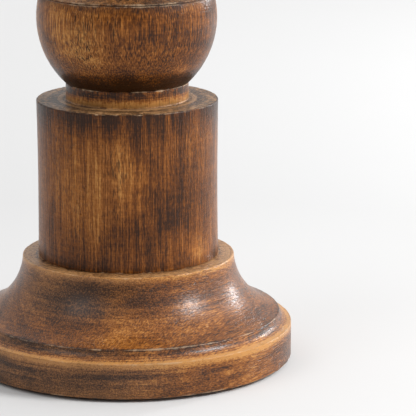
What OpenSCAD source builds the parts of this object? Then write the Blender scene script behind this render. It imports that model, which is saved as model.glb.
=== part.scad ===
// Turned wooden candlestick, built as a stack on a steel tie rod.
// A foot disc, a drum with a neck, a ball, a stem and a dish are turned apart, located on round tenons
// and drawn together by one threaded rod. A loose metal pan with a pricket lies in the dish.
// The origin is on the turning axis at the surface that the candlestick stands on, with +Z up.

/* [Foot] */
// Radius of the plinth band, the widest part of the candlestick
base_r = 70; // [58:0.5:90]
// Height of the plinth band
plinth_h = 14.7; // [10:0.1:20]
// Width of the cove between the plinth and the lip of the sweep
base_cove_w = 4.7; // [2:0.1:7]
// Height of that cove
base_cove_h = 4.7; // [2:0.1:7]
// Flat left on the plinth outside the cove
plinth_flat = 0.4; // [0.2:0.1:3]
// Height of the hollow sweep, from its lip to its rim
sweep_h = 25.1; // [20:0.1:34]
// Depth of the hollow sweep below the straight line from lip to rim
sweep_sag = 5; // [2:0.1:6]
// Width of the flat shelf round the drum
shelf_w = 6.9; // [3:0.1:12]
// Radius of the counterbore under the foot
foot_counterbore_r = 17; // [15:0.5:22]
// Depth of the counterbore under the foot
foot_counterbore_h = 14; // [12:0.5:18]

/* [Pads] */
// Radius of one felt pad
pad_r = 10; // [6:0.5:12]
// Thickness of a felt pad
pad_h = 1.5; // [1:0.1:4]
// How far the pads' outer edges stay inside the plinth
pad_inset = 5; // [2:0.5:15]
// Number of pads
pad_count = 4; // [3:1:8]

/* [Column] */
// Radius of the drum
drum_r = 38.3; // [30:0.1:48]
// Height of the drum
drum_h = 67.1; // [40:0.1:110]
// Width of the drum's worn upper edge
drum_bevel = 0.5; // [0.2:0.1:2]
// Radius of the neck
neck_r = 26; // [20:0.1:30]
// Height of the neck
neck_h = 7.2; // [4:0.1:20]
// Radius of the tenon under the drum
foot_tenon_r = 17; // [10:0.5:22]
// Length of the tenon under the drum
foot_tenon_h = 20; // [8:0.5:24]
// Radius of the tenon on the neck
neck_tenon_r = 15; // [9:0.5:18]
// Length of the tenon on the neck
neck_tenon_h = 15; // [6:0.5:20]

/* [Ball] */
// Radius of the ball
ball_r = 38; // [34:0.1:48]
// Height of the ring line above the ball's middle
ring_rise = 9.4; // [4:0.1:16]
// Depth of the small step above the ring line
quirk_w = 0.6; // [0.3:0.1:2]
// Height of the small step above the ring line
quirk_h = 0.7; // [0.3:0.1:2]
// Radius of the flat top of the ball's shoulder
shoulder_top_r = 15; // [12.5:0.1:22]
// Height of the shoulder above the ring line's step
shoulder_h = 31.6; // [20:0.1:50]
// Hollow of the shoulder below the straight line from ring to top
shoulder_sag = 5.2; // [2:0.1:7]

/* [Stem] */
// Radius of the two tenons of the stem
stem_tenon_r = 8; // [6.5:0.1:9.5]
// Length of the tenon under the stem
stem_foot_tenon_h = 12; // [6:0.5:18]
// Length of the tenon on top of the stem
stem_top_tenon_h = 8; // [5:0.5:9]
// Radius of the round edge of the bead at the stem's foot
foot_bead_r = 3.5; // [2:0.1:5]
// How far the bead at the stem's foot stands out beyond the ball's flat top
foot_bead_out = 3.5; // [1:0.1:6]
// Radius of the round edge of the bead below the dish
top_bead_r = 3; // [2:0.1:4.5]
// How far the bead below the dish stands out of the shaft
top_bead_out = 4; // [2:0.1:6]
// Radius of the shaft just above the foot bead
shaft_foot_r = 13; // [11:0.1:17]
// Radius of the shaft just below the upper bead
shaft_top_r = 10.5; // [9.5:0.1:14]
// Length of the shaft between the beads
shaft_h = 48; // [25:0.5:120]
// Hollow of the shaft below a straight taper
shaft_sag = 1; // [0.4:0.1:2]
// Width and height of the cove above the upper bead
stem_cove_w = 4.5; // [3:0.1:7]

/* [Dish] */
// Radius of the dish's rim band
dish_r = 50; // [47:0.5:70]
// Height of the rim band
band_h = 9.5; // [8:0.1:16]
// Width and height of the cove below the rim band
dish_cove_w = 3.2; // [2:0.1:6]
// Radius of the dish's foot, where it stands on the stem
dish_foot_r = 18; // [16.5:0.1:24]
// Height of the foot's square edge
dish_foot_h = 2.2; // [1:0.1:5]
// Height of the hollow underside of the dish
flare_h = 25; // [22:0.1:40]
// Depth of the hollow underside
flare_sag = 5; // [2:0.1:6]
// Depth of the recess that holds the pan
recess_h = 9; // [5:0.1:9.5]
// Radius of the pocket for the upper nut
nut_pocket_r = 15; // [13:0.5:18]
// Depth of the pocket for the upper nut
nut_pocket_h = 12.5; // [12:0.5:14]

/* [Pan] */
// Outer radius of the pan's wall
pan_r = 42; // [34:0.1:44]
// Thickness of the pan's metal
pan_wall = 1; // [0.6:0.1:1.6]
// Radius of the rolled edge
pan_roll_r = 1; // [0.7:0.1:1.5]
// Radius of the bend between the floor and the wall, inside
pan_bend_r = 2.5; // [1:0.1:4]

/* [Pricket] */
// Radius of the pricket's shank
pricket_r = 2.5; // [2:0.1:4]
// Height of the straight shank above the pan's floor
pricket_shank_h = 9; // [4:0.5:14]
// Height of the point above the shank
pricket_point_h = 9; // [6:0.5:20]
// Radius of the flat left at the tip
pricket_tip_r = 0.3; // [0.2:0.1:0.6]
// Radius of the rivet stub through the pan
stub_r = 2; // [1.5:0.1:2.3]
// Radius of the rivet head under the pan
rivet_r = 3.6; // [3:0.1:4.5]
// Thickness of the rivet head
rivet_h = 1.3; // [0.8:0.1:1.6]

/* [Hardware] */
// Radius of the tie rod
rod_r = 4; // [3:0.5:5]
// Width of the nuts across their flats
nut_af = 13; // [11:0.5:16]
// Height of the nuts
nut_h = 6.5; // [5:0.1:8]
// Radius of the washers on the tie rod
washer_r = 12; // [10:0.5:12.5]
// Thickness of the washers on the tie rod
washer_h = 2; // [1:0.1:2.5]
// Radius of the washer under the pan
pan_washer_r = 5; // [4.5:0.1:8]
// Thickness of the washer under the pan
pan_washer_h = 1; // [0.6:0.1:1.2]
// How far the rod stands out of each nut
rod_end = 1; // [0.5:0.1:3]

/* [Turning] */
// Depth of every small cove, as a share of its width
cove_depth = 0.26; // [0.1:0.01:0.28]

/* [Fits] */
// Radial gap between the tie rod and the holes in the wood
rod_gap = 0.5; // [0.3:0.1:1]
// Radial gap round every tenon, filled with glue
glue_gap = 0.1; // [0.05:0.01:0.3]
// Gap left below the end of every tenon
tenon_end_gap = 0.5; // [0.3:0.1:2]
// Radial gap between the rod and the nuts, and round the rivet stub
thread_gap = 0.05; // [0.02:0.01:0.1]
// Radial gap round the pan
pan_gap = 0.4; // [0.3:0.1:1]
// Gap between the pan's rolled edge and the dish
roll_gap = 0.2; // [0.2:0.1:1]

/* [Hidden] */
$fn = 96;
// Small extra length that lets a cutter pass through a face
cut = 1;

// Heights of the faces where one turned section stands on the next
base_z = pad_h;
plinth_z = base_z + plinth_h;
lip_z = plinth_z + base_cove_h;
drum_z = lip_z + sweep_h;
shoulder_z = drum_z + drum_h;
neck_z = shoulder_z + neck_h;
ball_mid_z = neck_z + sqrt(ball_r * ball_r - neck_r * neck_r);
ring_z = ball_mid_z + ring_rise;
quirk_z = ring_z + quirk_h;
stem_z = quirk_z + shoulder_h;
shaft_z = stem_z + 2 * foot_bead_r;
top_bead_z = shaft_z + shaft_h;
cove_z = top_bead_z + 2 * top_bead_r;
dish_z = cove_z + stem_cove_w;
flare_z = dish_z + dish_foot_h;
flare_top_z = flare_z + flare_h;
band_z = flare_top_z + dish_cove_w;
rim_z = band_z + band_h;
pan_z = rim_z - recess_h;
pocket_z = pan_z - nut_pocket_h;

// Radii that follow from their neighbours
cove_foot_r = base_r - plinth_flat;
lip_r = cove_foot_r - base_cove_w;
shelf_r = drum_r + shelf_w;
ring_r = sqrt(ball_r * ball_r - ring_rise * ring_rise);
quirk_r = ring_r - quirk_w;
dish_lip_r = dish_r - dish_cove_w;
rod_hole_r = rod_r + rod_gap;
recess_r = pan_r + pan_gap;
pad_circle_r = base_r - pad_inset - pad_r;

// Heights inside the stack
foot_seat_z = base_z + foot_counterbore_h;
foot_nut_z = foot_seat_z - washer_h - nut_h;
top_nut_z = pocket_z + washer_h;
pan_floor_z = pan_z + pan_wall;
rivet_z = pan_z - pan_washer_h - rivet_h;
point_z = pan_floor_z + pricket_shank_h;
roll_z = rim_z + roll_gap + pan_roll_r;

// Radius of the arc through two points that are a chord apart and sag from it by a given depth
function arc_r(a, b, sag) = (pow(norm(b - a) / 2, 2) + sag * sag) / (2 * sag);
// Centre of that arc, on the right of the way from a to b
function arc_mid(a, b, sag) =
    (a + b) / 2 + (arc_r(a, b, sag) - sag) / norm(b - a) * [b[1] - a[1], a[0] - b[0]];

// A band of the turning axis, from one height to another, between two end radii, and hollowed by an arc
module hollow(low, high, sag) {
    difference() {
        polygon([[0, low[1]], low, high, [0, high[1]]]);
        translate(arc_mid(low, high, sag)) circle(r = arc_r(low, high, sag), $fn = 180);
    }
}

// A cylinder's half section between two heights
module band(r, z0, z1) {
    translate([0, z0]) square([r, z1 - z0]);
}

// A bead's half section: a disc with a round edge, standing on a height
module bead(r, edge_r, z0) {
    band(r - edge_r, z0, z0 + 2 * edge_r);
    translate([r - edge_r, z0 + edge_r]) circle(r = edge_r, $fn = 64);
}

// A round bar on the axis between two heights, kept or cut away
module bar(r, z0, z1) {
    translate([0, 0, z0]) cylinder(r = r, h = z1 - z0);
}

// A mortise for a tenon that reaches into the wood from one face; up is 1 or -1
module mortise(tenon_r, tenon_h, z, up) {
    depth = tenon_h + tenon_end_gap;
    bar(tenon_r + glue_gap, min(z - up * cut, z + up * depth), max(z - up * cut, z + up * depth));
}

// A hexagon nut on the tie rod
module nut(z) {
    color("silver") difference() {
        translate([0, 0, z]) cylinder(r = nut_af / 2 / cos(30), h = nut_h, $fn = 6);
        bar(rod_r + thread_gap, z - cut, z + nut_h + cut);
    }
}

// A flat washer
module washer(r, hole_r, h, z) {
    difference() {
        bar(r, z, z + h);
        bar(hole_r, z - cut, z + h + cut);
    }
}

// Pads that keep the foot off the table
module felt_pads() {
    color("#3b2f28")
        for (i = [0 : pad_count - 1])
            rotate([0, 0, (i + 0.5) * 360 / pad_count])
                translate([pad_circle_r, 0, 0]) cylinder(r = pad_r, h = pad_h);
}

// Foot: plinth band, cove and hollow sweep up to the shelf that the drum stands on
module base() {
    color("#7a5230") difference() {
        rotate_extrude($fn = 180) {
            band(base_r, base_z, plinth_z);
            hollow([cove_foot_r, plinth_z], [lip_r, lip_z], cove_depth * base_cove_w);
            hollow([lip_r, lip_z], [shelf_r, drum_z], sweep_sag);
        }
        bar(foot_counterbore_r, base_z - cut, foot_seat_z);
        bar(rod_hole_r, foot_seat_z - cut, drum_z + cut);
        mortise(foot_tenon_r, foot_tenon_h, drum_z, -1);
    }
}

// Drum and neck with a tenon at each end
module column() {
    color("#6b3f22") difference() {
        union() {
            bar(foot_tenon_r, drum_z - foot_tenon_h, drum_z + cut);
            bar(drum_r, drum_z, shoulder_z - drum_bevel);
            translate([0, 0, shoulder_z - drum_bevel])
                cylinder(r1 = drum_r, r2 = drum_r - drum_bevel, h = drum_bevel);
            bar(neck_r, shoulder_z - cut, neck_z);
            bar(neck_tenon_r, neck_z - cut, neck_z + neck_tenon_h);
        }
        bar(rod_hole_r, drum_z - foot_tenon_h - cut, neck_z + neck_tenon_h + cut);
    }
}

// Ball with its ring line, and the hollow shoulder above it
module ball() {
    color("#70442a") difference() {
        rotate_extrude($fn = 180) {
            intersection() {
                translate([0, ball_mid_z]) circle(r = ball_r, $fn = 180);
                band(ball_r + cut, neck_z, ring_z);
            }
            band(quirk_r, ball_mid_z, quirk_z);
            hollow([quirk_r, quirk_z], [shoulder_top_r, stem_z], shoulder_sag);
        }
        bar(rod_hole_r, neck_z - cut, stem_z + cut);
        mortise(neck_tenon_r, neck_tenon_h, neck_z, 1);
        mortise(stem_tenon_r, stem_foot_tenon_h, stem_z, -1);
    }
}

// Slender stem between two beads, with a tenon at each end
module stem() {
    color("#6b3f22") difference() {
        union() {
            bar(stem_tenon_r, stem_z - stem_foot_tenon_h, stem_z + cut);
            rotate_extrude() {
                bead(shoulder_top_r + foot_bead_out, foot_bead_r, stem_z);
                hollow([shaft_foot_r, shaft_z], [shaft_top_r, top_bead_z], shaft_sag);
                bead(shaft_top_r + top_bead_out, top_bead_r, top_bead_z);
                hollow([shaft_top_r, cove_z], [shaft_top_r + stem_cove_w, dish_z],
                       cove_depth * stem_cove_w);
            }
            bar(stem_tenon_r, dish_z - cut, dish_z + stem_top_tenon_h);
        }
        bar(rod_hole_r, stem_z - stem_foot_tenon_h - cut, dish_z + stem_top_tenon_h + cut);
    }
}

// Dish: the foot's sweep and band turned upside down, with a recess for the pan
module dish() {
    color("#7a5230") difference() {
        rotate_extrude($fn = 180) {
            band(dish_foot_r, dish_z, flare_z);
            hollow([dish_foot_r, flare_z], [dish_lip_r, flare_top_z], flare_sag);
            hollow([dish_lip_r, flare_top_z], [dish_r, band_z], cove_depth * dish_cove_w);
            band(dish_r, band_z, rim_z);
        }
        bar(recess_r, pan_z, rim_z + cut);
        bar(nut_pocket_r, pocket_z, pan_z + cut);
        bar(rod_hole_r, dish_z - cut, pocket_z + cut);
        mortise(stem_tenon_r, stem_top_tenon_h, dish_z, 1);
    }
}

// Threaded rod that draws the whole stack together
module tie_rod() {
    color("silver") bar(rod_r, foot_nut_z - rod_end, top_nut_z + nut_h + rod_end);
}

module foot_washer() {
    color("silver") washer(washer_r, rod_hole_r, washer_h, foot_seat_z - washer_h);
}

module foot_nut() {
    nut(foot_nut_z);
}

module top_washer() {
    color("silver") washer(washer_r, rod_hole_r, washer_h, pocket_z);
}

module top_nut() {
    nut(top_nut_z);
}

// Loose sheet-metal pan with a rolled edge
module candle_pan() {
    inner_r = pan_r - pan_wall;
    color("#4a4540") difference() {
        rotate_extrude($fn = 180) {
            difference() {
                band(pan_r, pan_z, roll_z);
                band(inner_r - pan_bend_r, pan_floor_z, roll_z + cut);
                band(inner_r, pan_floor_z + pan_bend_r, roll_z + cut);
                translate([inner_r - pan_bend_r, pan_floor_z + pan_bend_r]) circle(r = pan_bend_r);
            }
            translate([pan_r - pan_wall / 2, roll_z]) circle(r = pan_roll_r, $fn = 48);
        }
        bar(stub_r + thread_gap, pan_z - cut, pan_floor_z + cut);
    }
}

module pan_washer() {
    color("#4a4540") washer(pan_washer_r, stub_r + thread_gap, pan_washer_h, pan_z - pan_washer_h);
}

// Spike for the candle: a turned shank and point, riveted over the washer under the pan
module pricket() {
    color("#4a4540") {
        bar(rivet_r, rivet_z, rivet_z + rivet_h);
        bar(stub_r, rivet_z + rivet_h / 2, pan_floor_z + cut);
        bar(pricket_r, pan_floor_z, point_z);
        translate([0, 0, point_z]) cylinder(r1 = pricket_r, r2 = pricket_tip_r, h = pricket_point_h);
    }
}

felt_pads();
base();
column();
ball();
stem();
dish();
tie_rod();
foot_washer();
foot_nut();
top_washer();
top_nut();
candle_pan();
pan_washer();
pricket();
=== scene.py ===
"""Turned wooden candlestick: the looks of every piece, built round the frame of its sizes and joints."""

import functools
import math

import bpy
from bpy.props import FloatProperty, FloatVectorProperty, IntProperty, PointerProperty
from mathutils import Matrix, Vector


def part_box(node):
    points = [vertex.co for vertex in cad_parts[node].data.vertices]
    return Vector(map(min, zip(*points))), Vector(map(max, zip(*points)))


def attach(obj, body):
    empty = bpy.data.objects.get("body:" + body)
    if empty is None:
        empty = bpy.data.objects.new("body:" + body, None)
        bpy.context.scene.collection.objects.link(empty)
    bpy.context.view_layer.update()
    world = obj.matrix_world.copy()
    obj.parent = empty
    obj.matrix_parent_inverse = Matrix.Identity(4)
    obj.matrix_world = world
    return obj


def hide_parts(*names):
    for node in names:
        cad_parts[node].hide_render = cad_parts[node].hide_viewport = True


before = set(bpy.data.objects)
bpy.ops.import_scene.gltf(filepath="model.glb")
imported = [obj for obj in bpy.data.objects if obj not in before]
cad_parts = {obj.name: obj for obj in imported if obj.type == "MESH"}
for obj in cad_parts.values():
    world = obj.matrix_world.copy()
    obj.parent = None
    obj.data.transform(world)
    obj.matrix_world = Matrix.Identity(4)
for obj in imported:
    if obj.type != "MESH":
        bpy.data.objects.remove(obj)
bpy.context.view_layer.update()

bl_info = {
    "name": "Turned Candlestick",
    "version": (1, 0, 0),
    "blender": (4, 5, 0),
    "location": "View3D > Sidebar > Candlestick",
    "description": "Turns the foot, drum, ball, stem and dish of a wooden candlestick and fits its hardware",
    "category": "Object",
}

STICK = "candlestick"
PAN = "pan"
HALF_TURN = math.pi
FULL_TURN = 2 * math.pi
THREAD_STEPS = 6
NUT_CHAMFER_ANGLE = math.radians(30)
FLOOR_SIDES = 96
MERGE_DISTANCE = 1e-6
BLACK = (0.0, 0.0, 0.0, 1.0)
LEVEL_SCALE = (1.0, 1.0, 0.0)
MIDDLE = (0.5, 0.5, 0.5)
STRAIGHT_ANGLE = 1e-6
TOOL_RIPPLE = 0.00003


# ---------------------------------------------------------------- places that the frame gives

@functools.lru_cache(maxsize=None)
def corners(node):
    """Lowest and highest corner of a node of the frame."""
    return tuple(tuple(float(value) for value in corner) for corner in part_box(node))


def bottom(node):
    return corners(node)[0][2]


def top(node):
    return corners(node)[1][2]


def reach(node):
    """Radius of a round node."""
    return corners(node)[1][0]


# ---------------------------------------------------------------- sizes and colours

def length(name, description, default):
    return FloatProperty(name=name, description=description, default=default, min=0.0, precision=5,
                         unit="LENGTH")


def colour(name, description, default):
    return FloatVectorProperty(name=name, description=description, default=default, size=3, min=0.0, max=1.0,
                               subtype="COLOR")


def share(name, description, default):
    return FloatProperty(name=name, description=description, default=default, min=0.0, max=1.0,
                         subtype="FACTOR")


def spot(name, description, default):
    return FloatVectorProperty(name=name, description=description, default=default, size=3, precision=5,
                               subtype="TRANSLATION")


class FootSizes(bpy.types.PropertyGroup):
    radius: length("Radius", "Radius of the plinth band", reach("base"))
    plinth_height: length("Plinth Height", "Height of the plinth band", 0.0147)
    plinth_flat: length("Plinth Flat", "Flat left on the plinth outside the cove", 0.0004)
    cove_width: length("Cove Width", "Width and height of the cove above the plinth", 0.0047)
    sweep_sag: length("Sweep Sag", "Depth of the hollow sweep below a straight line", 0.005)
    shelf_width: length("Shelf Width", "Width of the shelf round the drum", 0.0069)
    counterbore_radius: length("Counterbore Radius", "Radius of the recess for the nut under the foot", 0.017)
    counterbore_depth: length("Counterbore Depth", "Depth of the recess for the nut under the foot", 0.014)


class DrumSizes(bpy.types.PropertyGroup):
    radius: length("Radius", "Radius of the drum at its two ends", 0.0385)
    waist: length("Waist", "How far the drum draws in at half height", 0.00035)
    height: length("Height", "Height of the drum", 0.0671)
    neck_radius: length("Neck Radius", "Radius of the neck", 0.026)
    neck_height: length("Neck Height", "Height of the neck", 0.0072)
    foot_tenon_radius: length("Foot Tenon Radius", "Radius of the tenon under the drum", 0.017)
    neck_tenon_radius: length("Neck Tenon Radius", "Radius of the tenon on the neck", 0.015)


class BallSizes(bpy.types.PropertyGroup):
    radius: length("Radius", "Radius of the ball", reach("ball"))
    ring_rise: length("Ring Rise", "Height of the ring line above the ball's middle", 0.0094)
    quirk_width: length("Quirk Width", "Depth of the small step above the ring line", 0.0006)
    quirk_height: length("Quirk Height", "Height of the small step above the ring line", 0.0007)
    shoulder_radius: length("Shoulder Radius", "Radius of the flat top of the shoulder", 0.015)
    shoulder_sag: length("Shoulder Sag", "Hollow of the shoulder below a straight line", 0.0052)


class StemSizes(bpy.types.PropertyGroup):
    tenon_radius: length("Tenon Radius", "Radius of the tenons at both ends", 0.008)
    foot_tenon_height: length("Foot Tenon Length", "Length of the tenon under the stem", 0.012)
    foot_bead: length("Foot Bead", "Radius of the round edge of the lower bead", 0.0035)
    top_bead: length("Top Bead", "Radius of the round edge of the upper bead", 0.003)
    top_bead_out: length("Top Bead Width", "How far the upper bead stands out of the shaft", 0.004)
    shaft_foot_radius: length("Shaft Foot Radius", "Radius of the shaft above the lower bead", 0.013)
    shaft_top_radius: length("Shaft Top Radius", "Radius of the shaft below the upper bead", 0.0105)
    shaft_height: length("Shaft Height", "Length of the shaft between the beads", 0.048)
    shaft_sag: length("Shaft Sag", "Hollow of the shaft below a straight taper", 0.001)
    cove_width: length("Cove Width", "Width and height of the cove above the upper bead", 0.0045)


class DishSizes(bpy.types.PropertyGroup):
    radius: length("Radius", "Radius of the rim band", reach("dish"))
    band_height: length("Band Height", "Height of the rim band", 0.0095)
    cove_width: length("Cove Width", "Width and height of the cove below the rim band", 0.0032)
    foot_radius: length("Foot Radius", "Radius where the dish stands on the stem", 0.018)
    foot_height: length("Foot Height", "Height of the square edge at the foot", 0.0022)
    flare_sag: length("Flare Sag", "Depth of the hollow underside", 0.005)
    pan_gap: length("Pan Gap", "Gap round the pan in its recess", 0.0004)
    pocket_radius: length("Pocket Radius", "Radius of the pocket for the upper nut", 0.015)


class PanSizes(bpy.types.PropertyGroup):
    radius: length("Radius", "Outer radius of the pan's wall", 0.042)
    wall: length("Wall", "Thickness of the metal", 0.001)
    bend: length("Bend", "Inner radius of the bend between floor and wall", 0.0025)
    roll: length("Roll", "Radius of the rolled edge", 0.001)
    shank_radius: length("Shank Radius", "Radius of the pricket's shank", 0.0025)
    stub_radius: length("Stub Radius", "Radius of the pricket's stub below the pan's floor", 0.002)
    stub_gap: length("Stub Gap", "Gap between the stub and the holes that it passes", 0.00005)
    shank_height: length("Shank Height", "Height of the shank above the pan's floor", 0.009)
    tip_radius: length("Tip Radius", "Radius of the flat at the tip", 0.0003)
    head_height: length("Head Height", "Thickness of the head under the washer", 0.0013)


class HardwareSizes(bpy.types.PropertyGroup):
    rod_radius: length("Rod Radius", "Radius over the threads of the tie rod", 0.004)
    thread_pitch: length("Thread Pitch", "Distance between two turns of the thread", 0.00125)
    thread_depth: length("Thread Depth", "Depth of the thread", 0.00055)
    across_flats: length("Across Flats", "Width of the nuts across their flats", 0.013)
    nut_chamfer: length("Nut Chamfer", "Height of the chamfer at the corners of a nut", 0.00064)


class PadSizes(bpy.types.PropertyGroup):
    radius: length("Radius", "Radius of one felt pad", 0.01)
    inset: length("Inset", "How far the pads stay inside the plinth", 0.005)
    count: IntProperty(name="Count", description="Number of pads", default=4, min=3, max=8)
    fibres: IntProperty(name="Fibres", description="Loose fibres on one pad", default=260, min=0, max=1000)
    fibre_length: length("Fibre Length", "Length of a loose fibre", 0.0011)
    fibre_radius: length("Fibre Radius", "Radius of a loose fibre", 0.00004)


class TurningSizes(bpy.types.PropertyGroup):
    cove_depth: share("Cove Depth", "Depth of every small cove, as a share of its width", 0.26)
    arris: length("Arris", "Rounding of a worn outer edge", 0.00045)
    crease: length("Crease", "Rounding of an inner corner", 0.00012)
    rod_gap: length("Rod Gap", "Gap between the tie rod and the wood", 0.0005)
    glue_gap: length("Glue Gap", "Gap round a tenon", 0.0001)
    tenon_end_gap: length("Tenon End Gap", "Gap below the end of a tenon", 0.0005)
    fine_step: length("Fine Step", "Distance between points along a visible outline", 0.00055)
    coarse_step: length("Coarse Step", "Distance between points along a hidden outline", 0.004)


class WoodColours(bpy.types.PropertyGroup):
    dark: colour("Dark", "Darkest stain", (0.027, 0.0088, 0.0024))
    middle: colour("Middle", "Stain on most of the wood", (0.150, 0.044, 0.0050))
    warm: colour("Warm", "Stain where the wood took less of it", (0.300, 0.105, 0.018))
    gold: colour("Gold", "Lightest stain", (0.500, 0.230, 0.058))
    end_dark: colour("Dark End Grain", "Darkest stain on end grain", (0.034, 0.014, 0.005))
    end_light: colour("Light End Grain", "Lightest stain on end grain", (0.400, 0.190, 0.070))
    # Partly the rough tool-cut wood of the ledges, partly painted light from above: the colour that ledges
    # facing up are pulled towards.
    ledge: colour("Ledge", "Dry wood on a flat ledge", (0.430, 0.260, 0.130))
    bare: colour("Bare", "Wood that shows where an edge is worn", (0.560, 0.390, 0.240))
    # Painted shade as well as wax and dust: the near-black colour that inner corners are darkened towards.
    grime_and_shade: colour("Grime And Shade", "Wax and dust left in a corner", (0.016, 0.008, 0.004))


class MetalColours(bpy.types.PropertyGroup):
    enamel: colour("Enamel", "Dark bronze enamel of the pan", (0.050, 0.040, 0.032))
    enamel_worn: colour("Worn Enamel", "Enamel rubbed on edges", (0.190, 0.145, 0.105))
    zinc: colour("Zinc", "Bright zinc plate", (0.600, 0.600, 0.590))
    zinc_dull: colour("Dull Zinc", "Zinc plate gone dull", (0.350, 0.350, 0.340))
    felt: colour("Felt", "Brown felt", (0.045, 0.033, 0.026))
    felt_light: colour("Light Felt", "Lighter fibres in the felt", (0.110, 0.086, 0.068))


class StudioSettings(bpy.types.PropertyGroup):
    floor_radius: length("Floor Radius", "Radius of the pale floor", 7.0)
    # Painted shade: the floor is made darker near the object than far from it.
    floor_near: share("Floor Near", "Reflectance of the floor at the object", 0.635)
    floor_far: share("Floor Far", "Reflectance of the floor far from the object", 0.92)
    glow_behind: share("Glow Behind", "Light of the room behind the object", 0.6)
    glow_above: share("Glow Above", "Light of the room above the object", 0.28)
    glow_right: share("Glow Right", "Light of the room to the right of the object", 0.85)
    aim: spot("Aim", "Place that the softboxes face", (0.02, 0.0, 0.06))
    camera: spot("Camera", "Place of the camera", (0.03416, -1.08187, 0.3171))
    camera_drop: FloatProperty(name="Camera Drop", description="How far the camera looks down",
                               default=math.radians(13.107), subtype="ANGLE")
    lens: FloatProperty(name="Lens", description="Focal length in millimetres", default=224.9, min=1.0)


GROUPS = {
    "foot": FootSizes, "drum": DrumSizes, "ball": BallSizes, "stem": StemSizes, "dish": DishSizes,
    "pan": PanSizes, "hardware": HardwareSizes, "pads": PadSizes, "turning": TurningSizes,
    "wood": WoodColours, "metal": MetalColours, "studio": StudioSettings,
}


class CandlestickSettings(bpy.types.PropertyGroup):
    """All sizes and colours of the candlestick."""
    __annotations__ = {name: PointerProperty(type=group) for name, group in GROUPS.items()}


def settings():
    return bpy.context.scene.candlestick


# ---------------------------------------------------------------- outlines

def stroke_angle(start, end, sag):
    """Half the angle that a round stroke turns through."""
    return 2 * math.atan(2 * sag / (end - start).length)


def stroke_length(start, end, sag):
    chord = (end - start).length
    angle = stroke_angle(start, end, sag)
    return chord if abs(angle) < STRAIGHT_ANGLE else chord * angle / math.sin(angle)


def on_stroke(start, end, sag, along):
    """Point at a share of the way along a stroke that bends by its sag to the left."""
    chord = end - start
    angle = stroke_angle(start, end, sag)
    if abs(angle) < STRAIGHT_ANGLE:
        return start + chord * along
    radius = chord.length / 2 / math.sin(angle)
    turned = (2 * along - 1) * angle
    ahead = chord.normalized()
    left = Vector((-ahead.y, ahead.x))
    return (start + ahead * (chord.length / 2 + radius * math.sin(turned))
            + left * radius * (math.cos(turned) - math.cos(angle)))


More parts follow.
